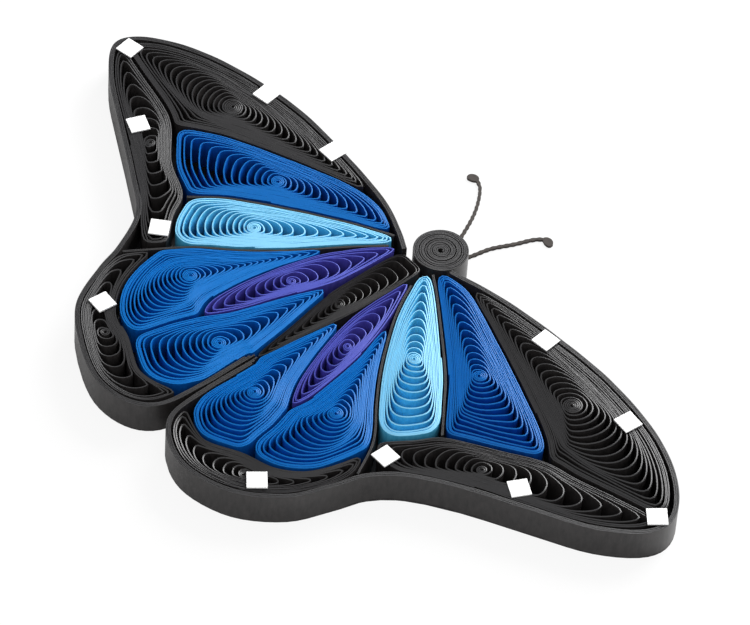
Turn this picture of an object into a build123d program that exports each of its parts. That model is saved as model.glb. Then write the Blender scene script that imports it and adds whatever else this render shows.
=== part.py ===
import cmath
import math
import os

from build123d import *

# A quilled paper butterfly that lies flat: strips of paper stand on edge, are rolled into coils,
# pressed to shape and glued side by side inside a border of several layers, and each wing stands
# on a sheet cut to its outline. Millimetres.
# Points of the layout are complex numbers, x + y j. The body lies along Y with the antennae at +Y,
# and each wing is laid out by itself, with x measured outwards from the body. A coil's centre is
# found from the first wall of its field: the share of the wall's length, counted back from its end,
# and the share of the way from there across the field, negative for the other side of the wall.

# Paper
strip_width = 3.0  # height of every strip that stands on edge
paper = 0.15  # thickness of one layer
border_layers = 3  # strips glued together round each wing
divider_layers = 2  # strips glued together between the wing's fields
base_sheet = 0.15  # thickness of the sheet under each wing
glue_gap = 0.06  # clearance between neighbouring pieces
turn_gap = 0.04  # least clearance between the turns of one coil

# Coils
most_turns = 7  # turns of a coil that has room for them
points_per_turn = 12  # corners of an outer turn, of which an inner turn keeps every second one
core_turns = 0.6  # turns left out at the open centre of a coil
closing_share = 0.25  # share of the last turn in which the strip comes out to the coil's outline
side_packing = 0.75  # below 1, turns lie closer together near the outside
end_spread = 0.3  # how much wider the turns stand towards a coil's pointed ends
corner_sharpness = 20.0  # the higher, the further a coil reaches into the corners of its field
least_slope = 0.15  # the flattest angle, as a sine, at which a coil's outline meets a wall
least_mitre = 0.6  # keeps the mitres short where a strip folds back on itself

# Head and antennae
head_radius = 2.45
head_shift = 0.25  # the head sits a little to one side of the body's middle line
head_turns = 8
head_points_per_turn = 16
head_packing = 1.0  # the head's turns stand evenly
neck = -2.55  # y of the body's front end
tail = -21.0  # y of the body's pointed end
antenna_stalk = 0.4
antenna_club = 0.95
antenna_club_length = 2.0

# White squares on top of the wings
spot_side = 1.75

# Body and wing layout
body_centre = -0.35 - 11.2j
curve_steps = 5  # points that a smooth curve gets between two points of the layout
points_per_divider_piece = 3  # points of its curve that one straight piece of a divider passes over
outline_tolerance = 0.03  # how far a straight piece of a border may pass beside its curve
outline_rays = 240  # directions in which a coil's outline is measured
joint_slack = 1e-6  # lets a ray that meets a wall at a joint count as a hit
wall_overrun = 1.0  # walls run on past their ends, so that every field is closed
settling_rounds = 40
settling_share = 0.02  # share of its length by which a far corner draws in during one round
line_share = 0.85  # how close to the centre the line of an inward bend may pass, against the nearest wall
shortest_piece = 0.2  # corners of a coil that lie closer together than this become one
bent_step = 1.6  # longest straight piece of the crescent's strip

right_wing = {
    "border": [
        2.8 - 1.0j, 7.9 + 0.3j, 14.4 + 1.1j, 20.9 + 1.3j, 27.4 + 0.4j, 32.3 - 1.6j, 35.4 - 4.5j,
        35.5 - 7.5j, 32.4 - 10.9j, 27.4 - 13.8j, 22.2 - 16.7j, 18.3 - 19.5j, 16.3 - 22.1j,
        15.4 - 25.0j, 13.9 - 28.8j, 10.6 - 32.1j, 6.3 - 33.5j, 2.9 - 32.8j, 0.6 - 30.7j, 0.1 - 26.6j,
        0.1 - 22.0j,
    ],
    "body_side": [0.1 - 22.0j, 0.65 - 16.3j, 1.2 - 11.4j, 1.3 - 6.5j, 1.35 - 3.5j, 2.8 - 1.0j],
    "leading_seam": [3.1 - 1.4j, 5.7 - 1.4j, 11.1 - 3.2j, 16.6 - 5.2j, 22.0 - 7.4j, 24.4 - 9.0j],
    "margin_seam": [
        35.1 - 5.7j, 31.0 - 7.0j, 27.4 - 8.2j, 24.4 - 9.0j, 20.6 - 11.5j, 16.7 - 14.2j, 15.2 - 16.6j,
        13.5 - 19.1j,
    ],
    "fore_divider": [2.1 - 2.6j, 4.7 - 4.3j, 11.1 - 9.0j, 14.2 - 11.8j, 16.7 - 14.2j],
    "wing_divider": [
        1.9 - 4.9j, 3.1 - 7.2j, 4.7 - 9.6j, 7.6 - 13.2j, 10.3 - 16.0j, 13.5 - 19.1j, 15.6 - 22.8j,
    ],
    "outer_seam": [2.4 - 6.0j, 4.1 - 9.7j, 5.4 - 13.5j, 6.1 - 17.2j, 6.5 - 20.4j, 6.3 - 22.5j],
    "inner_seam": [1.5 - 12.3j, 2.1 - 14.0j, 3.2 - 17.0j, 4.6 - 20.1j, 6.3 - 22.5j],
    "margin_end": [13.5 - 19.1j, 15.0 - 20.2j, 18.0 - 19.6j],
    "hind_seam": [6.3 - 22.5j, 7.0 - 24.7j, 7.3 - 26.7j, 7.8 - 28.5j],
    "hind_margin_seam": [
        14.0 - 20.0j, 13.6 - 22.8j, 12.8 - 25.3j, 10.8 - 27.4j, 7.8 - 28.5j, 4.2 - 30.2j, 1.6 - 29.2j,
        0.5 - 27.2j,
    ],
    "centres": {
        "leading_coil": (0.24, 0.45),
        "margin_coil": (0.38, 0.55),
        "forewing_coil": (0.37, 0.48),
        "pale_coil": (0.63, 0.50),
        "hind_margin_coil": (0.50, 0.46),
        "hindwing_coil": (0.15, 0.39),
        "violet_coil": (0.79, 0.56),
        "inner_coil": (0.10, -0.49),
    },
    "spots": [
        (34.4 - 5.7j, 52), (24.8 - 12.7j, -27), (15.2 - 19.2j, 0), (10.6 - 29.6j, 51), (25.1 - 0.7j, -5),
        (13.6 + 0.2j, 6),
    ],
    "antenna": [0.1 + 2.5j, 0.9 + 5.0j, 1.8 + 7.7j, 3.3 + 10.4j],
}

left_wing = {
    "border": [
        1.6 - 2.4j, 3.6 - 1.4j, 7.3 - 0.1j, 13.9 + 0.8j, 20.4 + 1.1j, 26.9 + 0.2j, 32.3 - 1.6j,
        36.1 - 4.2j, 37.0 - 6.8j, 34.1 - 9.7j, 28.9 - 12.7j, 23.4 - 15.8j, 19.5 - 18.3j, 17.3 - 22.1j,
        16.3 - 25.0j, 14.3 - 29.0j, 10.9 - 31.5j, 6.5 - 33.2j, 2.8 - 32.8j, 0.6 - 30.7j, 0.1 - 26.6j,
        0.1 - 22.0j,
    ],
    "body_side": [0.1 - 22.0j, 0.95 - 16.3j, 1.85 - 11.4j, 2.0 - 6.5j, 1.95 - 3.7j, 1.6 - 2.4j],
    "leading_seam": [3.1 - 1.9j, 5.4 - 1.0j, 9.2 - 1.0j, 14.2 - 2.7j, 21.6 - 6.1j, 25.8 - 9.1j],
    "margin_seam": [
        36.7 - 6.2j, 32.3 - 7.2j, 28.5 - 8.0j, 25.8 - 9.1j, 22.0 - 12.1j, 18.4 - 13.7j, 16.7 - 16.3j,
        14.4 - 18.6j,
    ],
    "fore_divider": [3.5 - 2.2j, 6.8 - 4.1j, 11.7 - 7.5j, 16.0 - 10.9j, 18.4 - 13.7j],
    "wing_divider": [
        2.9 - 3.4j, 4.8 - 6.0j, 7.9 - 10.7j, 10.5 - 14.0j, 13.0 - 16.6j, 14.4 - 18.6j, 16.8 - 22.4j,
    ],
    "outer_seam": [3.2 - 3.9j, 4.4 - 6.0j, 5.7 - 8.7j, 6.7 - 12.4j, 7.3 - 16.3j, 7.4 - 19.8j, 6.6 - 21.8j],
    "inner_seam": [2.1 - 10.2j, 2.9 - 12.0j, 4.1 - 15.4j, 5.2 - 18.9j, 6.6 - 21.8j],
    "margin_end": [14.4 - 18.6j, 16.0 - 20.3j, 18.2 - 19.6j],
    "hind_seam": [6.6 - 21.8j, 7.3 - 23.7j, 7.8 - 25.5j, 8.4 - 27.9j],
    "hind_margin_seam": [
        14.8 - 19.3j, 14.3 - 22.4j, 13.1 - 25.1j, 11.0 - 27.1j, 8.4 - 27.9j, 4.4 - 29.6j, 1.7 - 28.5j,
        0.5 - 26.1j,
    ],
    "centres": {
        "leading_coil": (0.17, 0.49),
        "margin_coil": (0.49, 0.50),
        "forewing_coil": (0.40, 0.49),
        "pale_coil": (0.50, 0.46),
        "hind_margin_coil": (0.53, 0.46),
        "hindwing_coil": (0.14, 0.44),
        "violet_coil": (0.73, 0.44),
        "inner_coil": (0.09, -0.54),
    },
    "spots": [
        (35.9 - 5.9j, -10), (28.0 - 11.3j, 21), (17.0 - 17.6j, 48), (13.2 - 27.2j, 5), (23.9 + 0.1j, -9),
        (14.8 + 0.2j, 0),
    ],
    "antenna": [1.0 + 2.3j, 2.4 + 4.7j, 4.3 + 7.4j, 6.9 + 9.6j],
}

# The walls round each coil's field, besides the wing's border
fields = {
    "leading_coil": ["leading_seam", "margin_seam"],
    "margin_coil": ["margin_seam", "wing_divider", "margin_end"],
    "forewing_coil": ["fore_divider", "leading_seam", "margin_seam"],
    "pale_coil": ["wing_divider", "fore_divider", "margin_seam"],
    "hind_margin_coil": ["hind_margin_seam", "wing_divider"],
    "hindwing_coil": ["outer_seam", "wing_divider", "hind_seam", "hind_margin_seam"],
    "violet_coil": ["inner_seam", "outer_seam", "wing_divider"],
    "inner_coil": ["inner_seam", "hind_seam", "hind_margin_seam"],
}

# Points of the layout on the two circles between which the crescent bends
crescent_circles = {"hind_margin_seam": (0, 3, -1), "border": (-8, -5, -3)}

border_thickness = border_layers * paper
wing_level = base_sheet + glue_gap
divider_half = divider_layers * paper / 2


def cross(a, b):
    return (a.conjugate() * b).imag


def unit(a):
    return a / abs(a)


def smooth(points):
    # A curve through the points whose slope at each one follows its two neighbours
    ends = [2 * points[0] - points[1]] + points + [2 * points[-1] - points[-2]]
    curve = []
    for before, start, end, after in zip(ends, ends[1:], ends[2:], ends[3:]):
        for step in range(curve_steps):
            t = step / curve_steps
            slope = (end - before) * t
            bend = (2 * before - 5 * start + 4 * end - after) * t**2
            twist = (3 * start - before - 3 * end + after) * t**3
            curve.append(start + (slope + bend + twist) / 2)
    return curve + points[-1:]


def distance(point, wall):
    # The shortest way from a point to a wall of straight pieces
    shortest = math.inf
    for a, b in zip(wall, wall[1:]):
        share = ((point - a) * (b - a).conjugate()).real / abs(b - a) ** 2
        shortest = min(shortest, abs(a + (b - a) * min(max(share, 0), 1) - point))
    return shortest


def thinned(path):
    # Leaves out points that hardly stand off the straight line past them
    line = [path[0], path[-1]]
    far = max(range(len(path)), key=lambda k: distance(path[k], line))
    if distance(path[far], line) <= outline_tolerance:
        return line
    return thinned(path[: far + 1])[:-1] + thinned(path[far:])


def hit(centre, direction, wall, inset):
    # How far a ray runs before it comes within the inset of the wall
    nearest = math.inf
    for a, b in zip(wall, wall[1:]):
        turn = cross(direction, b - a)
        if turn == 0:
            continue
        along = cross(a - centre, b - a) / turn
        if along > 0 and abs(cross(a - centre, direction) / turn - 0.5) < 0.5 + joint_slack:
            slope = max(abs(turn) / abs(b - a), least_slope)
            nearest = min(nearest, along - inset / slope)
    return max(nearest, paper)


def core(wall, share, across, others):
    # The centre of a coil, found from one wall of its field and the walls opposite
    back = wall[::-1]
    left = share * sum(abs(b - a) for a, b in zip(back, back[1:]))
    for a, b in zip(back, back[1:]):
        if left <= abs(b - a):
            break
        left -= abs(b - a)
    foot = a + left * unit(b - a)
    direction = math.copysign(1, across) * 1j * unit(a - b)
    return foot + direction * abs(across) * min(hit(foot, direction, other, 0) for other in others)


def ray_to_line(direction, a, b):
    # How far a ray from the origin runs before it meets the line through two points
    return cross(a, b - a) / cross(unit(direction), b - a)


def reach(centre, direction, walls):
    # A soft minimum over the walls, which rounds the corners between them
    return sum(hit(centre, direction, wall, inset) ** -corner_sharpness for wall, inset in walls) ** (
        -1 / corner_sharpness
    )


def spokes(centre, walls, count):
    # Lengths and directions to the corners of a turn: close together where its outline is long or bends
    rays = [cmath.rect(1, math.tau * k / outline_rays) for k in range(outline_rays)]
    tips = [ray * reach(centre, ray, walls) for ray in rays]
    first = max(range(outline_rays), key=lambda k: abs(tips[k]))
    tips = tips[first:] + tips[:first]
    steps = [b - a for a, b in zip(tips, tips[1:] + tips[:1])]
    bends = [abs(cmath.phase(b / a)) for a, b in zip(steps[-1:] + steps, steps)]
    length, bend = sum(abs(step) for step in steps), sum(bends)
    picks, travelled = [], 0.0
    for k in range(outline_rays):
        if travelled * count >= len(picks):
            picks.append(k)
        travelled += (abs(steps[k]) / length + bends[k] / bend + 1 / outline_rays) / 3
    # Far corners draw in until the straight pieces stay within reach and bend inwards but little
    corners = [tips[k] for k in picks]
    least_line = line_share * min(abs(tip) for tip in tips)
    for i in list(range(len(picks))) * settling_rounds:
        h, j = i - 1, (i + 1) % len(picks)
        between = tips[picks[i] + 1 : picks[j] or outline_rays]
        if any(ray_to_line(tip, corners[i], corners[j]) > abs(tip) for tip in between):
            corners[max(i, j, key=lambda k: abs(corners[k]))] *= 1 - settling_share
        if cross(corners[i] - corners[h], corners[j] - corners[i]) < 0:
            far = max(h, j, key=lambda k: abs(corners[k]))
            if abs(cross(corners[i], corners[far])) < least_line * abs(corners[i] - corners[far]):
                corners[far] *= 1 - settling_share
    return corners


def coil_path(centre, walls, count=points_per_turn, turns=most_turns, packing=side_packing):
    # A strip wound outwards along the spokes, with its end glued down on a long side
    tips = spokes(centre, [(wall, inset + paper / 2) for wall, inset in walls], count)
    count = len(tips)
    first = min(range(0, count, 2), key=lambda k: abs(tips[k]))
    tips = tips[first:] + tips[:first]
    # Inner turns leave out every second corner, except where the outline bends inwards
    left_out = set()
    for k in range(1, count, 2):
        if cross(tips[k] - tips[k - 1], tips[(k + 1) % count] - tips[k]) > 0:
            left_out.add(k)
    # The turns that fit follow from the side whose line runs closest to the centre
    side = min(cross(a, b) / abs(b - a) for a, b in zip(tips, tips[1:] + tips[:1]))
    turns = max(1, min(turns, int(side * packing / (paper + turn_gap))))
    pitch = 1 / (turns + core_turns)
    path = []
    for k in range(turns * count + 1):
        turns_left = turns - k / count
        if turns_left > turns / 2 and k % count in left_out:
            continue
        if turns_left < 1:
            turns_left = max(0, 1 - (1 - turns_left) / closing_share)
        tip = tips[k % count]
        spread = packing * (abs(tip) / side) ** end_spread
        corner = centre + tip * (1 - pitch * turns_left) ** spread
        if not path or abs(corner - path[-1]) > shortest_piece:
            path.append(corner)
    return path


def beside(path, distances):
    # A path moved to its left, mitred at each corner
    moved = []
    for i, point in enumerate(path):
        before = unit(point - path[i - 1]) if i else unit(path[1] - point)
        after = unit(path[i + 1] - point) if i + 1 < len(path) else before
        along = unit(before + after)
        mitre = max((along.conjugate() * after).real, least_mitre)
        moved.append(point + 1j * along * distances[i] / mitre)
    return moved


def band(path, widths):
    # Both edges of a strip that follows a path
    halves = [width / 2 for width in widths]
    return beside(path, halves) + beside(path, [-half for half in halves])[::-1]


def trimmed(path, walls):
    # What is left of a path that keeps clear of the walls
    return [p for p in path if all(distance(p, wall) >= clear for wall, clear in walls)]


def run_on(path):
    # A wall that goes straight on past both ends
    start = path[0] + wall_overrun * unit(path[0] - path[1])
    return [start] + path + [path[-1] + wall_overrun * unit(path[-1] - path[-2])]


def circle_centre(a, b, c):
    # The centre of the circle through three points
    ab, ac = b - a, c - a
    return a + 1j * (ab * abs(ac) ** 2 - ac * abs(ab) ** 2) / (2 * cross(ab, ac))


def straightened(points, middle, centre):
    # Unrolls an arc about its middle: x runs along the arc from the centre, y is the radius
    start = centre - middle
    return [complex(abs(start) * cmath.phase((p - middle) / start), abs(p - middle)) for p in points]


def bent(points, middle, centre):
    # Rolls a straightened path back round the middle, in short pieces
    start = centre - middle
    short = points[:1]
    for a, b in zip(points, points[1:]):
        pieces = math.ceil(abs(b - a) / bent_step)
        short += [a + (b - a) * k / pieces for k in range(1, pieces + 1)]
    return [middle + unit(start) * cmath.rect(p.imag, p.real / abs(start)) for p in short]


def mirrored(points, side):
    return [complex(side * p.real, p.imag) for p in points]


def flat_points(points):
    return [(p.real, p.imag) for p in points]


def write_piece(piece, name):
    piece.part.label = name
    export_step(piece.part, f"parts/{name}.step")


def cut_strip(name, outline, height, level):
    # A piece with straight walls over an outline of straight edges
    with BuildPart() as piece:
        with BuildSketch(layout.offset(level)):
            with BuildLine():
                Polyline(*flat_points(outline), close=True)
            make_face()
        extrude(amount=height)
    write_piece(piece, name)


os.makedirs("parts", exist_ok=True)

wings = {"right": (1, right_wing), "left": (-1, left_wing)}
borders, body_sides = {}, {}
for name, (side, wing) in wings.items():
    borders[name] = smooth(mirrored(wing["border"], side))
    body_sides[name] = smooth(mirrored(wing["body_side"], side))

# The head rests against the neck, or further forward where the wings' roots hold it off
head_clear = head_radius + glue_gap
head_y = neck + head_clear
for wall in list(borders.values()) + list(body_sides.values()):
    for p in wall:
        if abs(p.real - head_shift) < head_clear:
            head_y = max(head_y, p.imag + math.sqrt(head_clear**2 - (p.real - head_shift) ** 2))
head_centre = complex(head_shift, head_y)
head_rim = []
for k in range(outline_rays + 1):
    head_rim.append(head_centre + cmath.rect(head_radius, math.tau * k / outline_rays))

# The antennae start at the head's wall and end in a club
antennae = {}
for name, (side, wing) in wings.items():
    route = [p + 1j * head_y for p in smooth(mirrored(wing["antenna"], side))]
    route = [p for p in route if abs(p - head_centre) > head_clear + antenna_stalk]
    route = [head_centre + head_clear * unit(route[0] - head_centre)] + route
    widths = []
    for p in route:
        share = min(1, abs(p - route[-1]) / antenna_club_length)
        widths.append(antenna_stalk + (antenna_club - antenna_stalk) * 4 * share * (1 - share))
    antennae[name] = band(route, widths)

# The frame's origin lies under the middle of the whole outline
everything = [p for outline in list(borders.values()) + list(antennae.values()) for p in outline]
xs, ys = [p.real for p in everything], [p.imag for p in everything]
layout = Plane(origin=(-(min(xs) + max(xs)) / 2, -(min(ys) + max(ys)) / 2, 0))

# Wings
for name, (side, wing) in wings.items():
    border, body_side = smooth(wing["border"]), smooth(wing["body_side"])
    border_inside = beside(border, [-border_thickness] * len(border))
    seams = {key: smooth(wing[key]) for key in wing if key.endswith(("seam", "divider", "end"))}
    walls = {key: [(run_on(seam), glue_gap / 2)] for key, seam in seams.items()}
    for key in ("fore_divider", "wing_divider"):
        faces = [beside(seams[key], [half] * len(seams[key])) for half in (divider_half, -divider_half)]
        walls[key] = [(run_on(face), glue_gap) for face in faces]
    edge = [(run_on(border_inside), glue_gap), (run_on(body_side), glue_gap)]

    # The sheet under the wing, which the body's side closes
    outline = mirrored(thinned(border) + thinned(body_side)[1:-1], side)
    cut_strip(f"{name}_base", outline, base_sheet, 0)

    # The border goes round the wing from its root to the body's tail
    outline = mirrored(thinned(border) + thinned(border_inside)[::-1], side)
    cut_strip(f"{name}_border", outline, strip_width, wing_level)

    # Dividers stop short of the border and of the margin's coil
    clear = divider_half + glue_gap
    for key in ("fore_divider", "wing_divider"):
        ends = [(border_inside, clear), (body_side, clear)]
        if key == "fore_divider":
            ends.append((seams["margin_seam"], clear))
        path = mirrored(trimmed(seams[key], ends), side)
        path = path[:-1:points_per_divider_piece] + path[-1:]
        cut_strip(f"{name}_{key}", band(path, [2 * divider_half] * len(path)), strip_width, wing_level)

    # Coils, of which the crescent is wound as if its field were straight and then bent
    for key, names in fields.items():
        around = edge + [wall for seam in names for wall in walls[seam]]
        opposite = [wall for wall, inset in edge] + [run_on(seams[seam]) for seam in names[1:]]
        centre = core(seams[names[0]], *wing["centres"][key], opposite)
        if key == "hind_margin_coil":
            circles = [[wing[line][i] for i in picks] for line, picks in crescent_circles.items()]
            middle = sum(circle_centre(*circle) for circle in circles) / len(circles)
            around = [(straightened(wall, middle, centre), inset) for wall, inset in around]
            start = straightened([centre], middle, centre)[0]
            path = bent(coil_path(start, around), middle, centre)
        else:
            path = coil_path(centre, around)
        outline = band(mirrored(path, side), [paper] * len(path))
        cut_strip(f"{name}_{key}", outline, strip_width, wing_level)

    # White squares lie flat on the strips' upper edges
    for number, (place, turn) in enumerate(wing["spots"], start=1):
        with BuildPart() as spot:
            with BuildSketch(layout.offset(wing_level + strip_width)):
                with Locations((side * place.real, place.imag)):
                    Rectangle(spot_side, spot_side, rotation=side * turn)
            extrude(amount=paper)
        write_piece(spot, f"{name}_spot_{number}")

    cut_strip(f"{name}_antenna", antennae[name], paper, 0)

# Body
body_ends = [[complex(-head_radius, y), complex(head_radius, y)] for y in (neck, tail)]
body_walls = [(wall, glue_gap) for wall in body_sides.values()] + [(end, 0) for end in body_ends]
body = coil_path(body_centre, body_walls)
cut_strip("body_coil", band(body, [paper] * len(body)), strip_width, 0)

# Head
head = coil_path(head_centre, [(head_rim, 0)], head_points_per_turn, head_turns, head_packing)
cut_strip("head_coil", band(head, [paper] * len(head)), strip_width, 0)
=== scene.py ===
import math

import bpy
import numpy as np
from mathutils import Matrix, Vector


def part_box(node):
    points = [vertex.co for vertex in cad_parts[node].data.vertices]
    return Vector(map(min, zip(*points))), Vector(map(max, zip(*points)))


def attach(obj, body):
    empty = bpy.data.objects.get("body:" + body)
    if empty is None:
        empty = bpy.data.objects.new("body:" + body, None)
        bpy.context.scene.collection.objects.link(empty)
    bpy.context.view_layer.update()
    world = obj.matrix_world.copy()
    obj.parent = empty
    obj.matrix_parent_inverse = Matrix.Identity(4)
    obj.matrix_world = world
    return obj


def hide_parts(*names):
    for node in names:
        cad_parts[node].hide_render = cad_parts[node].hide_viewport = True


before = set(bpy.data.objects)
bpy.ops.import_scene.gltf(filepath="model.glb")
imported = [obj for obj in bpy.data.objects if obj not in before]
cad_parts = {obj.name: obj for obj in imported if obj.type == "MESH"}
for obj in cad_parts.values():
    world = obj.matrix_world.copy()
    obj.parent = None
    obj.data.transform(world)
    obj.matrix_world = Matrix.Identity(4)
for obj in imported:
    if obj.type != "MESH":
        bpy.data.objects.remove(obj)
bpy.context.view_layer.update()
print("frame loaded:", len(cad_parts), "paper pieces")

# Layout points are complex numbers in millimetres, x outwards from the body and y towards the antennae
mm = 0.001
layoutShift = 0.6376 + 11.5287j  # the layout's origin, seen from the frame's origin
wingLevels = (0.16, 3.21)  # the wings' strips stand on the base sheets
bodyLevels = (0.0, 3.0)

rightWing = {
    "border": [
        2.8 - 1.0j, 7.9 + 0.3j, 14.4 + 1.1j, 20.9 + 1.3j, 27.4 + 0.4j, 32.3 - 1.6j, 35.4 - 4.5j,
        35.5 - 7.5j, 32.4 - 10.9j, 27.4 - 13.8j, 22.2 - 16.7j, 18.3 - 19.5j, 16.3 - 22.1j,
        15.4 - 25.0j, 13.9 - 28.8j, 10.6 - 32.1j, 6.3 - 33.5j, 2.9 - 32.8j, 0.6 - 30.7j, 0.1 - 26.6j,
        0.1 - 22.0j,
    ],
    "bodySide": [0.1 - 22.0j, 0.65 - 16.3j, 1.2 - 11.4j, 1.3 - 6.5j, 1.35 - 3.5j, 2.8 - 1.0j],
    "leadingSeam": [3.1 - 1.4j, 5.7 - 1.4j, 11.1 - 3.2j, 16.6 - 5.2j, 22.0 - 7.4j, 24.4 - 9.0j],
    "marginSeam": [
        35.1 - 5.7j, 31.0 - 7.0j, 27.4 - 8.2j, 24.4 - 9.0j, 20.6 - 11.5j, 16.7 - 14.2j, 15.2 - 16.6j,
        13.5 - 19.1j,
    ],
    "foreDivider": [2.1 - 2.6j, 4.7 - 4.3j, 11.1 - 9.0j, 14.2 - 11.8j, 16.7 - 14.2j],
    "wingDivider": [
        1.9 - 4.9j, 3.1 - 7.2j, 4.7 - 9.6j, 7.6 - 13.2j, 10.3 - 16.0j, 13.5 - 19.1j, 15.6 - 22.8j,
    ],
    "outerSeam": [2.4 - 6.0j, 4.1 - 9.7j, 5.4 - 13.5j, 6.1 - 17.2j, 6.5 - 20.4j, 6.3 - 22.5j],
    "innerSeam": [1.5 - 12.3j, 2.1 - 14.0j, 3.2 - 17.0j, 4.6 - 20.1j, 6.3 - 22.5j],
    "violetSeam": [
        1.3 - 7.0j, 1.35 - 9.0j, 1.5 - 10.8j, 1.85 - 12.6j, 2.35 - 14.4j, 3.25 - 17.0j, 4.62 - 20.1j,
        6.3 - 22.5j,
    ],
    "marginEnd": [13.5 - 19.1j, 15.0 - 20.2j, 18.0 - 19.6j],
    "hindSeam": [6.3 - 22.5j, 7.0 - 24.7j, 7.3 - 26.7j, 7.8 - 28.5j],
    "hindMarginSeam": [
        14.0 - 20.0j, 13.6 - 22.8j, 12.8 - 25.3j, 10.8 - 27.4j, 7.8 - 28.5j, 4.2 - 30.2j, 1.6 - 29.2j,
        0.5 - 27.2j,
    ],
    "crescentMiddle": 6.4 - 22.4j,
    "antenna": [
        0.2 + 2.4j, 0.56 + 3.5j, 0.94 + 5.4j, 1.8 + 7.4j, 2.35 + 8.9j, 2.8 + 9.65j, 3.35 + 9.95j,
        4.0 + 9.75j,
    ],
    "squares": [
        (34.59 - 5.94j, 52), (25.12 - 12.95j, -27), (15.51 - 19.46j, 0), (10.88 - 29.66j, 51),
        (25.32 - 0.8j, -5), (14.03 - 0.09j, 6),
    ],
}

leftWing = {
    "border": [
        1.6 - 2.4j, 3.6 - 1.4j, 7.3 - 0.1j, 13.9 + 0.8j, 20.4 + 1.1j, 26.9 + 0.2j, 32.3 - 1.6j,
        36.1 - 4.2j, 37.0 - 6.8j, 34.1 - 9.7j, 28.9 - 12.7j, 23.4 - 15.8j, 19.5 - 18.3j, 17.3 - 22.1j,
        16.3 - 25.0j, 14.3 - 29.0j, 10.9 - 31.5j, 6.5 - 33.2j, 2.8 - 32.8j, 0.6 - 30.7j, 0.1 - 26.6j,
        0.1 - 22.0j,
    ],
    "bodySide": [0.1 - 22.0j, 0.95 - 16.3j, 1.85 - 11.4j, 2.0 - 6.5j, 1.95 - 3.7j, 1.6 - 2.4j],
    "leadingSeam": [3.1 - 1.9j, 5.4 - 1.0j, 9.2 - 1.0j, 14.2 - 2.7j, 21.6 - 6.1j, 25.8 - 9.1j],
    "marginSeam": [
        36.7 - 6.2j, 32.3 - 7.2j, 28.5 - 8.0j, 25.8 - 9.1j, 22.0 - 12.1j, 18.4 - 13.7j, 16.7 - 16.3j,
        14.4 - 18.6j,
    ],
    "foreDivider": [3.5 - 2.2j, 6.8 - 4.1j, 11.7 - 7.5j, 16.0 - 10.9j, 18.4 - 13.7j],
    "wingDivider": [
        2.9 - 3.4j, 4.8 - 6.0j, 7.9 - 10.7j, 10.5 - 14.0j, 13.0 - 16.6j, 14.4 - 18.6j, 16.8 - 22.4j,
    ],
    "outerSeam": [3.2 - 3.9j, 4.4 - 6.0j, 5.7 - 8.7j, 6.7 - 12.4j, 7.3 - 16.3j, 7.4 - 19.8j, 6.6 - 21.8j],
    "innerSeam": [2.1 - 10.2j, 2.9 - 12.0j, 4.1 - 15.4j, 5.2 - 18.9j, 6.6 - 21.8j],
    "violetSeam": [
        2.0 - 5.0j, 2.1 - 7.5j, 2.3 - 9.6j, 2.75 - 11.4j, 3.35 - 13.2j, 4.15 - 15.5j, 5.22 - 18.9j,
        6.6 - 21.8j,
    ],
    "marginEnd": [14.4 - 18.6j, 16.0 - 20.3j, 18.2 - 19.6j],
    "hindSeam": [6.6 - 21.8j, 7.3 - 23.7j, 7.8 - 25.5j, 8.4 - 27.9j],
    "hindMarginSeam": [
        14.8 - 19.3j, 14.3 - 22.4j, 13.1 - 25.1j, 11.0 - 27.1j, 8.4 - 27.9j, 4.4 - 29.6j, 1.7 - 28.5j,
        0.5 - 26.1j,
    ],
    "crescentMiddle": 6.9 - 21.6j,
    "antenna": [
        0.9 + 2.3j, 1.83 + 4.5j, 2.9 + 6.65j, 3.95 + 8.2j, 5.05 + 9.4j, 5.8 + 9.85j, 6.45 + 9.9j,
        6.95 + 9.5j,
    ],
    "squares": [
        (35.6 - 6.1j, -10), (27.66 - 11.49j, 21), (16.69 - 17.9j, 48), (12.84 - 27.28j, 5),
        (23.58 - 0.09j, -9), (14.48 + 0.01j, 0),
    ],
}


# Papers

fibreLook = {
    "stretch": (1.0, 1.0, 0.35), "detail": 5.0, "roughness": 0.62, "toneEnds": (0.32, 0.68),
    "edgeSlope": (0.35, 0.9), "grain": 2.4, "grainDetail": 4.0, "grainDepth": 0.00002,
}


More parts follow.
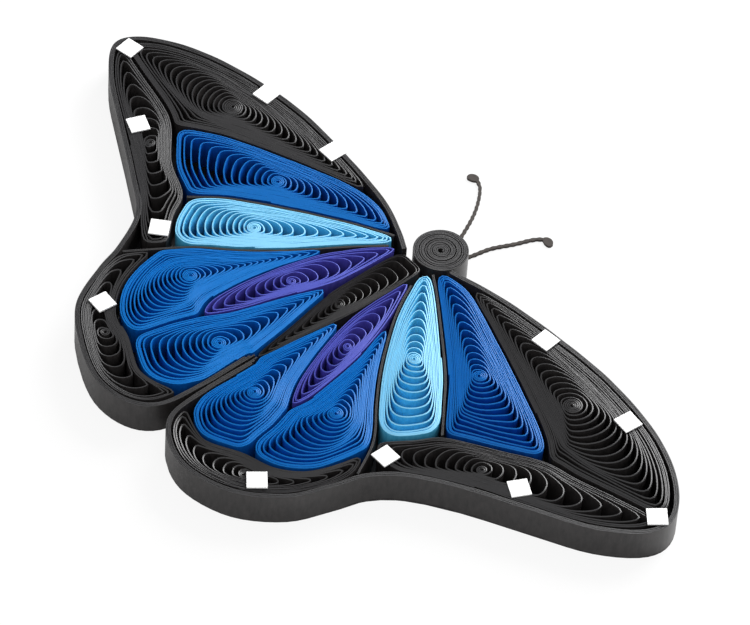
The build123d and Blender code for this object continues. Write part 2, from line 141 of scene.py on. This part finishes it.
def paperMaterial(paper):
    # fibre noise on object coordinates shades the sheet between two tones and lifts a fine bump;
    # where the surface faces up, on the strip's upper edge, the tone moves towards the edge colour, which is
    # partly the paper's own colour and partly painted light: the tops get a brightness of their own, apart
    # from the sides
    made = bpy.data.materials.new(paper["name"])
    made.use_nodes = True
    tree = made.node_tree
    shader = tree.nodes["Principled BSDF"]
    shader.inputs["Roughness"].default_value = paper["roughness"]
    shader.inputs["Specular IOR Level"].default_value = paper["specular"]
    place = tree.nodes.new("ShaderNodeTexCoord")
    stretch = tree.nodes.new("ShaderNodeMapping")
    stretch.inputs["Scale"].default_value = fibreLook["stretch"]
    tree.links.new(place.outputs["Object"], stretch.inputs["Vector"])
    fibres = tree.nodes.new("ShaderNodeTexNoise")
    fibres.inputs["Scale"].default_value = paper["fibreScale"]
    fibres.inputs["Detail"].default_value = fibreLook["detail"]
    fibres.inputs["Roughness"].default_value = fibreLook["roughness"]
    tree.links.new(stretch.outputs["Vector"], fibres.inputs["Vector"])
    tones = tree.nodes.new("ShaderNodeValToRGB")
    for stop, tone in enumerate(("deep", "light")):
        tones.color_ramp.elements[stop].position = fibreLook["toneEnds"][stop]
        tones.color_ramp.elements[stop].color = (*paper[tone], 1.0)
    tree.links.new(fibres.outputs["Fac"], tones.inputs["Fac"])
    surface = tree.nodes.new("ShaderNodeNewGeometry")
    split = tree.nodes.new("ShaderNodeSeparateXYZ")
    tree.links.new(surface.outputs["True Normal"], split.inputs["Vector"])
    upward = tree.nodes.new("ShaderNodeMapRange")
    upward.inputs["From Min"].default_value = fibreLook["edgeSlope"][0]
    upward.inputs["From Max"].default_value = fibreLook["edgeSlope"][1]
    upward.inputs["To Max"].default_value = paper["edgeShare"]
    tree.links.new(split.outputs["Z"], upward.inputs["Value"])
    # painted light: upward faces take the edge colour, partly the paper's own and partly standing in for the
    # light on the tops
    edgeToneWithPaintedLight = tree.nodes.new("ShaderNodeMix")
    edgeToneWithPaintedLight.data_type = "RGBA"
    edgeToneWithPaintedLight.inputs["B"].default_value = (*paper["edge"], 1.0)
    tree.links.new(upward.outputs["Result"], edgeToneWithPaintedLight.inputs["Factor"])
    tree.links.new(tones.outputs["Color"], edgeToneWithPaintedLight.inputs["A"])
    tree.links.new(edgeToneWithPaintedLight.outputs["Result"], shader.inputs["Base Color"])
    grain = tree.nodes.new("ShaderNodeTexNoise")
    grain.inputs["Scale"].default_value = paper["fibreScale"] * fibreLook["grain"]
    grain.inputs["Detail"].default_value = fibreLook["grainDetail"]
    tree.links.new(stretch.outputs["Vector"], grain.inputs["Vector"])
    bump = tree.nodes.new("ShaderNodeBump")
    bump.inputs["Strength"].default_value = paper["bump"]
    bump.inputs["Distance"].default_value = fibreLook["grainDepth"]
    tree.links.new(grain.outputs["Fac"], bump.inputs["Height"])
    tree.links.new(bump.outputs["Normal"], shader.inputs["Normal"])
    return made


# each paper's edge colour, used on its upward faces, is partly its own colour and partly painted light on the
# strips' tops
blackPaper = paperMaterial({
    "name": "blackPaper", "deep": (0.014, 0.013, 0.013), "light": (0.030, 0.027, 0.027),
    "edge": (0.017, 0.017, 0.019), "edgeShare": 0.8, "roughness": 0.4, "specular": 0.42,
    "fibreScale": 2600.0, "bump": 0.35,
})
royalBluePaper = paperMaterial({
    "name": "royalBluePaper", "deep": (0.001, 0.045, 0.26), "light": (0.002, 0.075, 0.38),
    "edge": (0.003, 0.132, 0.42), "edgeShare": 0.8, "roughness": 0.42, "specular": 0.12,
    "fibreScale": 2600.0, "bump": 0.3,
})
brightBluePaper = paperMaterial({
    "name": "brightBluePaper", "deep": (0.001, 0.070, 0.33), "light": (0.002, 0.105, 0.45),
    "edge": (0.002, 0.146, 0.46), "edgeShare": 0.8, "roughness": 0.42, "specular": 0.1,
    "fibreScale": 2600.0, "bump": 0.3,
})
paleBluePaper = paperMaterial({
    "name": "paleBluePaper", "deep": (0.05, 0.38, 0.66), "light": (0.10, 0.50, 0.78),
    "edge": (0.25, 0.57, 0.78), "edgeShare": 0.8, "roughness": 0.45, "specular": 0.2,
    "fibreScale": 2600.0, "bump": 0.3,
})
violetPaper = paperMaterial({
    "name": "violetPaper", "deep": (0.045, 0.040, 0.27), "light": (0.070, 0.065, 0.38),
    "edge": (0.075, 0.098, 0.46), "edgeShare": 0.8, "roughness": 0.42, "specular": 0.15,
    "fibreScale": 2600.0, "bump": 0.3,
})
whitePaper = paperMaterial({
    "name": "whitePaper", "deep": (0.86, 0.86, 0.86), "light": (0.92, 0.92, 0.92),
    "edge": (0.95, 0.95, 0.95), "edgeShare": 0.7, "roughness": 0.7, "specular": 0.35,
    "fibreScale": 1800.0, "bump": 0.25,
})
brownPaper = paperMaterial({
    "name": "brownPaper", "deep": (0.022, 0.018, 0.016), "light": (0.055, 0.046, 0.041),
    "edge": (0.050, 0.043, 0.039), "edgeShare": 0.5, "roughness": 0.7, "specular": 0.25,
    "fibreScale": 2200.0, "bump": 0.3,
})
print("papers mixed")


# Curves of the layout

def cross(a, b):
    # upright part of the cross product of two arrows in the plan
    return (np.conj(a) * b).imag


def smoothCurve(points, steps=16):
    # cubic through every point, whose slope at a point is half the way between its two neighbours
    p = np.asarray(points, complex)
    p = np.concatenate([[2 * p[0] - p[1]], p, [2 * p[-1] - p[-2]]])
    t = (np.arange(steps) / steps)[None, :]
    before, start, end, after = (p[k:len(p) - 3 + k, None] for k in range(4))
    curve = start + ((end - before) * t + (2 * before - 5 * start + 4 * end - after) * t**2
                     + (3 * start - before - 3 * end + after) * t**3) / 2
    return np.append(curve.ravel(), p[-2])


def beside(path, distance, leastMitre=0.6):
    # path moved to its left by the distance over the cosine of half the bend, which counts as no less
    # than the least mitre
    way = np.diff(path)
    way = way / np.abs(way)
    before = np.concatenate([way[:1], way])
    after = np.concatenate([way, way[-1:]])
    along = before + after
    along = along / np.maximum(np.abs(along), 1e-9)
    mitre = np.maximum((np.conj(along) * after).real, leastMitre)
    return path + 1j * along * distance / mitre


def runOn(path, length=1.0):
    # the wall goes straight on past both ends
    first = path[0] + length * (path[0] - path[1]) / abs(path[0] - path[1])
    last = path[-1] + length * (path[-1] - path[-2]) / abs(path[-1] - path[-2])
    return np.concatenate([[first], path, [last]])


def evenly(path, spacing):
    # points at equal distances along the path
    walked = np.concatenate([[0], np.cumsum(np.abs(np.diff(path)))])
    at = np.linspace(0, walked[-1], max(2, int(walked[-1] / spacing) + 1))
    return np.interp(at, walked, path.real) + 1j * np.interp(at, walked, path.imag)


def onSide(path, side):
    # the left wing's x is measured to the left, so its paths are mirrored
    return path if side > 0 else -np.conj(path)


def awayFrom(points, line):
    # shortest way from each point to any straight piece of a line, with the pieces along the last axis
    a, span = line[:-1], np.diff(line)
    share = np.clip(((points[..., None] - a) * np.conj(span)).real / np.abs(span) ** 2, 0, 1)
    return np.abs(points[..., None] - a - span * share).min(-1)


def clearOf(path, walls):
    # the stretch of the path that keeps its distance from every wall
    keep = np.ones(len(path), bool)
    for wall, gap in walls:
        keep &= awayFrom(path, wall) >= gap
    return path[keep]


def fieldReach(centre, walls, rays):
    # way along each ray to the nearest straight piece of a wall
    nearest = np.full(len(rays), np.inf)
    for wall, _ in walls:
        a, span = wall[None, :-1] - centre, np.diff(wall)[None, :]
        turn = cross(rays[:, None], span)
        turn = np.where(np.abs(turn) < 1e-12, 1e-12, turn)
        along, share = cross(a, span) / turn, cross(a, rays[:, None]) / turn
        met = (along > 0) & (np.abs(share - 0.5) < 0.5 + 1e-6)
        nearest = np.minimum(nearest, np.where(met, along, np.inf).min(1))
    return nearest


def pressedReach(centre, walls, rays, insets, samples=64, spacing=0.3):
    # for each inset, the furthest point along a ray up to which every wall stays at least that far away
    reach = fieldReach(centre, walls, rays)
    shares = np.linspace(0, 1, samples + 1)
    points = centre + rays[:, None] * reach[:, None] * shares
    room = np.full(points.shape, np.inf)
    for wall, gap in walls:
        room = np.minimum(room, awayFrom(points, evenly(wall, spacing)) - gap)
    room = np.minimum.accumulate(room, 1)
    row = np.arange(len(rays))
    found = []
    for inset in insets:
        k = np.clip((room >= inset).sum(1), 1, samples)
        inner, outer = room[row, k - 1], room[row, k]
        part = np.clip((inner - inset) / np.maximum(inner - outer, 1e-9), 0, 1)
        found.append(reach * (shares[k - 1] + part / samples))
    return np.array(found)


def grownReach(outline, rays, radius, limit, samples=64, spacing=0.25):
    # way along each ray, from the common centre and up to the limit, to where the outline lies one
    # radius behind
    line = evenly(np.append(outline, outline[0]), spacing)
    shares = np.linspace(0, 1, samples + 1)
    room = limit - np.abs(outline)
    points = outline[:, None] + rays[:, None] * room[:, None] * shares
    away = np.maximum.accumulate(awayFrom(points, line), 1)
    row, k = np.arange(len(rays)), np.clip((away <= radius).sum(1), 1, samples)
    inner, outer = away[row, k - 1], away[row, k]
    part = np.clip((radius - inner) / np.maximum(outer - inner, 1e-9), 0, 1)
    return np.abs(outline) + room * (shares[k - 1] + part / samples)


# Strips

stripEdge = {"chamfer": 0.014, "heightPlay": 0.05, "waves": (0.55, 1.7), "lean": 0.03, "sharpFrom": 34}


def carried(rows, heights):
    # a profile carried along a path: one closed ring for each station, each ring joined to the next one,
    # and a face over either end
    count, ring = rows.shape
    flat = (rows + layoutShift).ravel()
    points = np.stack([flat.real, flat.imag, heights.ravel()], 1) * mm
    i, k = np.meshgrid(np.arange(count - 1), np.arange(ring), indexing="ij")
    a, b = i * ring + k, i * ring + (k + 1) % ring
    faces = np.stack([a, b, b + ring, a + ring], -1).reshape(-1, 4)
    ends = [list(range(ring))[::-1], list(range((count - 1) * ring, count * ring))]
    return points, faces, ends


def stripArrays(path, thickness, low, high, phase, lean=0.0):
    # a standing strip: a slim upright profile with a chamfered upper edge, carried along the path, its upper
    # edge dipping a little by two slow waves of the walked length and sloping down to the right by the lean
    walked = np.concatenate([[0], np.cumsum(np.abs(np.diff(path)))])
    slow, quick = (np.sin(walked * wave + k * phase) for k, wave in enumerate(stripEdge["waves"], start=1))
    dip = stripEdge["heightPlay"] * (0.5 + 0.25 * slow + 0.25 * quick)
    half, chamfer = thickness / 2, min(stripEdge["chamfer"], thickness / 4)
    sides = np.array([half, half, half - chamfer, chamfer - half, -half, -half])
    rows = np.stack([beside(path, side) for side in sides], 1)
    top, foot = high - dip - abs(lean) / 2, np.full(len(path), low)
    heights = [foot, top - chamfer, top + lean / 2, top - lean / 2, top - chamfer - abs(lean) / 2, foot]
    return carried(rows, np.stack(heights, 1))


def addPiece(name, parts, material, nodes):
    # several closed strips become one mesh, smooth along their length and sharp at their edges
    points, faces, offset = [], [], 0
    for somePoints, someFaces, someEnds in parts:
        points.append(somePoints)
        faces += (someFaces + offset).tolist() + [[v + offset for v in end] for end in someEnds]
        offset += len(somePoints)
    mesh = bpy.data.meshes.new(name)
    mesh.from_pydata(np.concatenate(points).tolist(), [], faces)
    mesh.polygons.foreach_set("use_smooth", np.ones(len(mesh.polygons), bool))
    mesh.set_sharp_from_angle(angle=math.radians(stripEdge["sharpFrom"]))
    mesh.materials.append(material)
    piece = bpy.data.objects.new(name, mesh)
    bpy.context.scene.collection.objects.link(piece)
    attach(piece, "root")
    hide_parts(*nodes)


# Coils

winding = {
    "thickness": 0.125, "gap": 0.03, "pitch": 0.136, "loops": 18, "together": 3, "closing": 6.0,
    "coreTurns": 3, "corePitch": 0.15, "hole": 0.12, "growth": 1.3, "slim": 0.85, "softness": 9.0,
    "root": 1.5 - 5.0j, "blunt": 0.0, "cornerShare": 0.45, "overshoot": 0.1, "overshootPower": 6,
    "axisBlur": 8.0, "axisPlay": 1.2, "tableBlur": 1.2, "stationShare": 0.55, "stepsPerTurn": 150,
    "rays": 360,
}


def blurred(values, width):
    # round trip of directions, each averaged with its neighbours under a bell curve
    reach = int(width * 3) + 1
    bell = np.exp(-0.5 * (np.arange(-reach, reach + 1) / width) ** 2)
    return np.convolve(np.concatenate([values[-reach:], values, values[:reach]]), bell / bell.sum(), "valid")


def between(values, at):
    # round trip of directions, read at places between two of them
    return np.interp(at, np.arange(len(values) + 1), np.append(values, values[0]))


def tableAt(table, rows, at):
    # the same for a table with one round trip in each row, read between two of its rows as well
    low, ray = rows.astype(int), at.astype(int)
    up, on = rows - low, at - ray
    after = (ray + 1) % table.shape[1]
    return ((table[low, ray] * (1 - on) + table[low, after] * on) * (1 - up)
            + (table[low + 1, ray] * (1 - on) + table[low + 1, after] * on) * up)


def bluntWalls(centre, walls, rays, look):
    # away from the root the field's corners are rounded: it is shrunk by the radius and grown again
    sharp, shrunk = pressedReach(centre, walls, rays, [0, look["blunt"]])
    grown = grownReach(rays * shrunk, rays, look["blunt"], sharp)
    away = centre - look["root"]
    outer = np.clip(2 * (rays * np.conj(away)).real / abs(away), 0, 1)
    field = centre + rays * (sharp + (grown - sharp) * outer)
    return [(np.append(field, field[0]), 0.0)]


def longAxis(reach, angles, look):
    # far ends of the blurred outline, the second about opposite the first, and the angle between them
    wide = blurred(reach, look["axisBlur"])
    first = int(np.argmax(wide))
    turned = (angles - angles[first]) % math.tau
    second = int(np.argmax(np.where(np.abs(turned - math.pi) < look["axisPlay"], wide, 0)))
    return first, second, turned[second]


def coilPath(centre, walls, coil):
    # radius in a direction is a soft minimum of two: the field's reach, with one pitch of pressed paper for
    # every turn further out, and a loop about the coil's long axis, half an ellipse towards either end, whose
    # length is a power of the wound share; the outermost loops lie together and follow the field
    look = {**winding, **coil}
    count, pitch, perTurn = look["rays"], look["pitch"], look["stepsPerTurn"]
    angles = np.arange(count) * math.tau / count
    rays = np.exp(1j * angles)
    if look["blunt"]:
        walls = bluntWalls(centre, walls, rays, look)
    insets = look["thickness"] / 2 + np.arange(look["loops"] + look["coreTurns"] + 2) * pitch
    table = pressedReach(centre, walls, rays, insets)
    table = np.array([blurred(row, look["tableBlur"]) for row in table])
    reach = table[0]
    outline = rays * reach
    first, second, bend = longAxis(reach, angles, look)
    # stations of a turn: by the outline's length and by angle
    step = np.abs(np.diff(np.append(outline, outline[0])))
    byLength = look["stationShare"]
    travelled = np.concatenate([[0], np.cumsum(step / step.sum() * byLength + (1 - byLength) / count)])
    turning = np.interp(np.arange(perTurn) / perTurn, travelled, np.arange(count + 1))
    # stations of the strip, which ends where the field is narrowest, and the turns that lie outside each
    coreRadius = look["hole"] + look["coreTurns"] * look["corePitch"]
    loops = min(look["loops"], (reach.min() - coreRadius) / pitch)
    turns = loops + look["coreTurns"]
    k = np.arange(int(turns * perTurn) + 1)
    last = int(np.argmin(between(reach, turning)))
    at = turning[(k + last - len(k) + 1) % perTurn]
    outer = turns - k / perTurn
    outer = np.where(outer < 1, np.maximum(0, 1 - look["closing"] * (1 - outer)), outer)
    wound = np.clip(1 - (outer - look["together"]) / (loops - look["together"]), 0, 1)
    lengthShare = wound ** look["growth"]
    # angle from the long axis, zero at the first end and pi at the second
    off = (at * math.tau / count - angles[first]) % math.tau
    off = np.where(off < bend, off / bend, 1 + (off - bend) / (math.tau - bend)) * math.pi
    ends = []
    for end in (first, second):
        length = coreRadius + (reach[end] - coreRadius) * lengthShare
        aim = outline / rays[end]
        order = np.argsort(-aim.real)
        width = np.interp(-length, -aim.real[order], np.maximum.accumulate(np.abs(aim.imag)[order]))
        width = np.clip(width - outer * pitch, coreRadius, length)
        ends.append((length, length ** look["slim"] * width ** (2 - look["slim"])))
    middle = np.sqrt(ends[0][1] * ends[1][1])
    facing = np.cos(off) >= 0
    length, across = (np.where(facing, ends[0][m], ends[1][m]) for m in (0, 1))
    across = across * np.cos(off) ** 2 + middle * np.sin(off) ** 2
    loop = 1 / np.sqrt((np.cos(off) / length) ** 2 + np.sin(off) ** 2 / across)
    # outermost loops keep the field's own shape
    own = coreRadius + (between(reach, at) - coreRadius) * lengthShare
    own = own * (1 + look["overshoot"] * wound ** look["overshootPower"])
    rounded = np.clip((1 - wound) / look["cornerShare"], 0, 1)
    rounded = rounded * rounded * (3 - 2 * rounded)
    loop = own + (loop - own) * rounded
    # pressed sides and loops meet in the soft minimum, outside a round core
    core = coreRadius - np.maximum(outer - loops, 0) * look["corePitch"]
    pressed = np.maximum(tableAt(table, outer, at), core)
    radius = (pressed ** -look["softness"] + loop ** -look["softness"]) ** (-1 / look["softness"])
    radius = np.where(outer > loops, core, np.maximum(radius, core))
    return centre + np.exp(1j * at * math.tau / count) * radius


def straightened(points, middle, centre):
    # x is the way along the arc from the coil's centre, y the distance from the arc's middle
    start = centre - middle
    p = np.asarray(points)
    return abs(start) * np.angle((p - middle) / start) + 1j * np.abs(p - middle)


def bent(points, middle, centre):
    # the reverse: way along the arc becomes an angle about the middle
    start = centre - middle
    return middle + start / abs(start) * points.imag * np.exp(1j * points.real / abs(start))


# Wings

coils = {
    "leading_coil": {
        "right": 20.9 - 3.2j, "left": 24.2 - 3.4j, "paper": blackPaper, "slot": "black_paper",
        "walls": ["leadingSeam", "marginSeam"], "loops": 22, "coreTurns": 4, "corePitch": 0.17,
        "blunt": 0.8, "cornerShare": 0.35,
    },
    "margin_coil": {
        "right": 21.6 - 14.0j, "left": 25.3 - 12.0j, "paper": blackPaper, "slot": "black_paper",
        "walls": ["marginSeam", "wingDivider", "marginEnd"], "together": 2, "coreTurns": 2,
    },
    "forewing_coil": {
        "right": 13.5 - 7.2j, "left": 14.7 - 6.1j, "paper": royalBluePaper, "slot": "royal_blue_paper",
        "walls": ["leadingSeam", "marginSeam", "foreDivider"], "blunt": 0.8, "cornerShare": 0.75,
    },
    "pale_coil": {
        "right": 8.6 - 10.3j, "left": 11.7 - 11.3j, "paper": paleBluePaper, "slot": "pale_blue_paper",
        "walls": ["foreDivider", "marginSeam", "wingDivider"], "blunt": 1.6,
    },
    "hind_margin_coil": {
        "right": 9.6 - 30.0j, "left": 10.1 - 29.2j, "paper": blackPaper, "slot": "black_paper",
        "walls": ["hindMarginSeam", "wingDivider"], "together": 2, "coreTurns": 2,
    },
    "hindwing_coil": {
        "right": 9.2 - 19.6j, "left": 10.7 - 19.3j, "paper": brightBluePaper, "slot": "bright_blue_paper",
        "walls": ["wingDivider", "outerSeam", "hindSeam", "hindMarginSeam"], "blunt": 1.3,
    },
    "violet_coil": {
        "right": 4.0 - 13.9j, "left": 4.8 - 12.8j, "paper": violetPaper, "slot": "violet_paper",
        "walls": ["wingDivider", "outerSeam", "violetSeam"], "thickness": 0.1, "pitch": 0.11,
        "together": 1, "coreTurns": 2, "corePitch": 0.12, "hole": 0.11,
    },
    "inner_coil": {
        "right": 3.1 - 23.5j, "left": 3.1 - 22.3j, "paper": brightBluePaper, "slot": "bright_blue_paper",
        "walls": ["innerSeam", "hindSeam", "hindMarginSeam"], "blunt": 1.3,
    },
}
borderStrips = {"layers": 3, "thickness": 0.15, "air": 0.012, "tail": 1.2, "step": 0.3, "phase": 1.3}
dividerStrips = {
    "layers": 2, "thickness": 0.11, "air": 0.012, "below": 0.12,  # set below the coils' tops
    "clear": 0.06, "trimStep": 0.1, "step": 0.3, "phase": 4,
}
whiteSquare = {"side": 1.75, "levels": (3.21, 3.36)}  # flat on the strips' upper edges

wings = (("right", 1, rightWing), ("left", -1, leftWing))
bodySides = []
for wingName, side, wing in wings:
    border, bodySide = smoothCurve(wing["border"]), smoothCurve(wing["bodySide"])
    bodySides.append(onSide(bodySide, side))
    borderInside = beside(border, -borderStrips["layers"] * borderStrips["thickness"])
    dividerHalf = dividerStrips["layers"] * dividerStrips["thickness"] / 2
    walls = {}
    for key in wing:
        if key.endswith(("Seam", "End")):
            walls[key] = [(runOn(smoothCurve(wing[key])), winding["gap"] / 2)]
        if key.endswith("Divider"):
            line = smoothCurve(wing[key])
            walls[key] = [(runOn(beside(line, half)), winding["gap"]) for half in (dividerHalf, -dividerHalf)]
    edge = [(runOn(borderInside), winding["gap"]), (runOn(bodySide), winding["gap"])]

    # border: layers of strip one inside the other, the outer ones running on towards the body's tail
    parts = []
    for layer in range(borderStrips["layers"]):
        line = beside(border, -(layer + 0.5) * borderStrips["thickness"])
        line = np.append(line, line[-1] + 1j * borderStrips["tail"] * (1 - layer / borderStrips["layers"]))
        line = onSide(evenly(line, borderStrips["step"]), side)
        thickness = borderStrips["thickness"] - borderStrips["air"]
        parts.append(stripArrays(line, thickness, *wingLevels, layer * borderStrips["phase"]))
    addPiece(wingName + "BorderStrips", parts, blackPaper, [wingName + "_border"])

    # dividers: double strips between the fields
    for key, node in (("foreDivider", "_fore_divider"), ("wingDivider", "_wing_divider")):
        clear = dividerHalf + dividerStrips["clear"]
        ends = [(borderInside, clear), (bodySide, clear)]
        if key == "foreDivider":
            ends.append((smoothCurve(wing["marginSeam"]), clear))
        middleLine = clearOf(evenly(smoothCurve(wing[key]), dividerStrips["trimStep"]), ends)
        top = wingLevels[1] - dividerStrips["below"]
        parts = []
        for layer in range(dividerStrips["layers"]):
            shift = (layer - (dividerStrips["layers"] - 1) / 2) * dividerStrips["thickness"]
            line = onSide(evenly(beside(middleLine, shift), dividerStrips["step"]), side)
            thickness = dividerStrips["thickness"] - dividerStrips["air"]
            parts.append(stripArrays(line, thickness, wingLevels[0], top, layer + dividerStrips["phase"]))
        addPiece(wingName + key[0].upper() + key[1:], parts, blackPaper, [wingName + node])

    # coils, of which the crescent is wound in a straightened field and then bent
    for node, coil in coils.items():
        centre = coil[wingName]
        around = edge + [wall for key in coil["walls"] for wall in walls[key]]
        if node == "hind_margin_coil":
            middle = wing["crescentMiddle"]
            around = [(straightened(wall, middle, centre), gap) for wall, gap in around]
            path = bent(coilPath(straightened(centre, middle, centre), around, coil), middle, centre)
        else:
            path = coilPath(centre, around, coil)
        thickness, lean = {**winding, **coil}["thickness"], side * stripEdge["lean"]
        strip = stripArrays(onSide(path, side), thickness, *wingLevels, abs(centre), lean)
        addPiece(f"{wingName}_{node}_strip", [strip], coil["paper"], [f"{wingName}_{node}"])

    # white squares: each one is a low, broad strip as long as it is wide
    for number, (place, turn) in enumerate(wing["squares"], start=1):
        middle = complex(side * place.real, place.imag)
        arm = whiteSquare["side"] / 2 * np.exp(1j * math.radians(side * turn))
        line = np.array([middle - arm, middle + arm])
        sheet = stripArrays(line, whiteSquare["side"], *whiteSquare["levels"], number)
        node = f"{wingName}_spot_{number}"
        addPiece(node + "_sheet", [sheet], whitePaper, [node])
    print(wingName, "wing filled")


# Body and head

bodyCoil = {
    "centre": -0.35 - 11.2j, "neck": -2.55, "tail": -21.8, "endWall": 4.0, "phase": 0.4,
    "root": -0.35 - 21.0j, "blunt": 0.6, "together": 1, "thickness": 0.09, "pitch": 0.1, "coreTurns": 2,
    "corePitch": 0.12,
}
endWall = np.array([-bodyCoil["endWall"], bodyCoil["endWall"]])
around = [(line, winding["gap"]) for line in bodySides]
around += [(endWall + 1j * bodyCoil[end], 0.0) for end in ("neck", "tail")]
path = coilPath(bodyCoil["centre"], around, bodyCoil)
strip = stripArrays(path, bodyCoil["thickness"], *bodyLevels, bodyCoil["phase"], stripEdge["lean"])
addPiece("bodyStrip", [strip], blackPaper, ["body_coil"])

headCoil = {
    "radius": 2.45, "thickness": 0.13, "hole": 0.22, "turns": 14, "slack": 0.035, "slackWave": 1.9,
    "stepsPerTurn": 90, "phase": 2.2,
}
headLow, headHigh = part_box("head_coil")
headCentre = complex(headLow.x + headHigh.x, headLow.y + headHigh.y) / 2 / mm - layoutShift
# an even spiral from the hole to the rim, whose turns lie a little looser here and there
turn = np.linspace(0, headCoil["turns"], headCoil["turns"] * headCoil["stepsPerTurn"] + 1)
wall = headCoil["radius"] - headCoil["thickness"] / 2 - headCoil["hole"]
radius = headCoil["hole"] + wall * np.minimum(1, turn / (headCoil["turns"] - 1))
loose = np.sin(turn * headCoil["slackWave"]) * np.sin(np.pi * turn / headCoil["turns"])
path = headCentre + (radius + headCoil["slack"] * loose) * np.exp(1j * math.tau * turn)
strip = stripArrays(path, headCoil["thickness"], *bodyLevels, headCoil["phase"])
addPiece("headStrip", [strip], blackPaper, ["head_coil"])
print("body and head wound")


# Antennae

feeler = {
    "stalk": 0.28, "play": 0.05, "twist": 0.62, "club": 0.8, "clubLength": 1.15, "tip": 0.02,
    "thickness": 0.25, "fromHead": 0.1, "steps": 160,
}


def feelerArrays(path, widths, thickness):
    # a flat ribbon on the base: both edges stand off the path by half its width, in two levels
    left, right = beside(path, widths / 2), beside(path, -widths / 2)
    heights = np.tile([0, thickness, thickness, 0], (len(path), 1))
    return carried(np.stack([left, left, right, right], 1), heights)


for wingName, side, wing in wings:
    path = onSide(smoothCurve(wing["antenna"]) + 1j * headCentre.imag, side)
    path = path[np.abs(path - headCentre) > headCoil["radius"] + feeler["fromHead"]]
    path = evenly(path, np.abs(np.diff(path)).sum() / feeler["steps"])
    # the twisted stalk swells and thins at every twist, and the club at its end is an ellipse
    toTip = np.linspace(np.abs(np.diff(path)).sum(), 0, len(path))
    stalk = feeler["stalk"] + feeler["play"] * np.sin(toTip * math.tau / feeler["twist"])
    club = feeler["club"] * np.sqrt(np.clip(1 - (2 * toTip / feeler["clubLength"] - 1) ** 2, 0, 1))
    widths = np.where(toTip < feeler["clubLength"] / 2, club, np.maximum(stalk, club))
    ribbon = feelerArrays(path, np.maximum(widths, feeler["tip"]), feeler["thickness"])
    addPiece(wingName + "Feeler", [ribbon], brownPaper, [wingName + "_antenna"])
print("antennae laid")

# Base sheets stay the CAD's own solids
for nodeName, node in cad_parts.items():
    if nodeName.endswith("_base"):
        node.data.materials.clear()
        node.data.materials.append(blackPaper)


# Floor, light and camera

floorLook = {"size": 3.0, "white": (0.93, 0.93, 0.93), "roughness": 0.9, "glow": 0.86}
mesh = bpy.data.meshes.new("floor")
half = floorLook["size"] / 2
mesh.from_pydata([(-half, -half, 0), (half, -half, 0), (half, half, 0), (-half, half, 0)], [], [(0, 1, 2, 3)])
floor = bpy.data.objects.new("floor", mesh)
bpy.context.scene.collection.objects.link(floor)
floorPaper = bpy.data.materials.new("floorWhite")
floorPaper.use_nodes = True
tree = floorPaper.node_tree
shader = tree.nodes["Principled BSDF"]
shader.inputs["Base Color"].default_value = (*floorLook["white"], 1.0)
shader.inputs["Roughness"].default_value = floorLook["roughness"]
seen = tree.nodes.new("ShaderNodeLightPath")
share = tree.nodes.new("ShaderNodeMath")
share.operation = "MULTIPLY"
share.inputs[1].default_value = floorLook["glow"]
white = tree.nodes.new("ShaderNodeEmission")
mix = tree.nodes.new("ShaderNodeMixShader")
tree.links.new(seen.outputs["Is Camera Ray"], share.inputs[0])
tree.links.new(share.outputs["Value"], mix.inputs["Fac"])
tree.links.new(shader.outputs["BSDF"], mix.inputs[1])
tree.links.new(white.outputs["Emission"], mix.inputs[2])
tree.links.new(mix.outputs["Shader"], tree.nodes["Material Output"].inputs["Surface"])
mesh.materials.append(floorPaper)

studio = {"white": (1.0, 1.0, 1.0, 1.0), "strength": 0.58}
world = bpy.data.worlds.new("studio")
bpy.context.scene.world = world
world.use_nodes = True
world.node_tree.nodes["Background"].inputs["Color"].default_value = studio["white"]
world.node_tree.nodes["Background"].inputs["Strength"].default_value = studio["strength"]

lamps = [
    {"name": "backLamp", "place": (-0.03, 0.19, 0.115), "size": 0.16, "power": 0.85},
    {"name": "fillLamp", "place": (0.25, -0.3, 0.55), "size": 0.5, "power": 1.0},
]
for lamp in lamps:
    light = bpy.data.lights.new(lamp["name"], "AREA")
    light.size = lamp["size"]
    light.energy = lamp["power"]
    holder = bpy.data.objects.new(lamp["name"], light)
    holder.location = lamp["place"]
    holder.rotation_euler = (-Vector(lamp["place"])).to_track_quat("-Z", "Y").to_euler()
    bpy.context.scene.collection.objects.link(holder)

view = {
    "azimuth": 46.64, "elevation": 47.5, "roll": 3.98, "distance": 456.2, "target": 2.34 - 9.41j,
    "targetHeight": 3.0, "focal": 5297.2, "imageWidth": 750, "sensor": 36.0, "near": 0.01,
}
yaw, tilt, roll = (math.radians(view[key]) for key in ("azimuth", "elevation", "roll"))
right = Vector((math.cos(yaw), math.sin(yaw), 0))
ahead = Vector((-math.sin(yaw) * math.cos(tilt), math.cos(yaw) * math.cos(tilt), -math.sin(tilt)))
up = right.cross(ahead)
rolledRight = math.cos(roll) * right + math.sin(roll) * up
rolledUp = -math.sin(roll) * right + math.cos(roll) * up
aim = view["target"] + layoutShift
aim = Vector((aim.real, aim.imag, view["targetHeight"])) * mm
turned = Matrix((rolledRight, rolledUp, -ahead)).transposed().to_4x4()
lens = bpy.data.cameras.new("photoCamera")
lens.sensor_width = view["sensor"]
lens.lens = view["focal"] * view["sensor"] / view["imageWidth"]
lens.clip_start = view["near"]
camera = bpy.data.objects.new("photoCamera", lens)
camera.matrix_world = Matrix.Translation(aim - ahead * view["distance"] * mm) @ turned
bpy.context.scene.collection.objects.link(camera)
bpy.context.scene.camera = camera
bpy.context.scene.view_settings.view_transform = "Standard"
print("stage set")
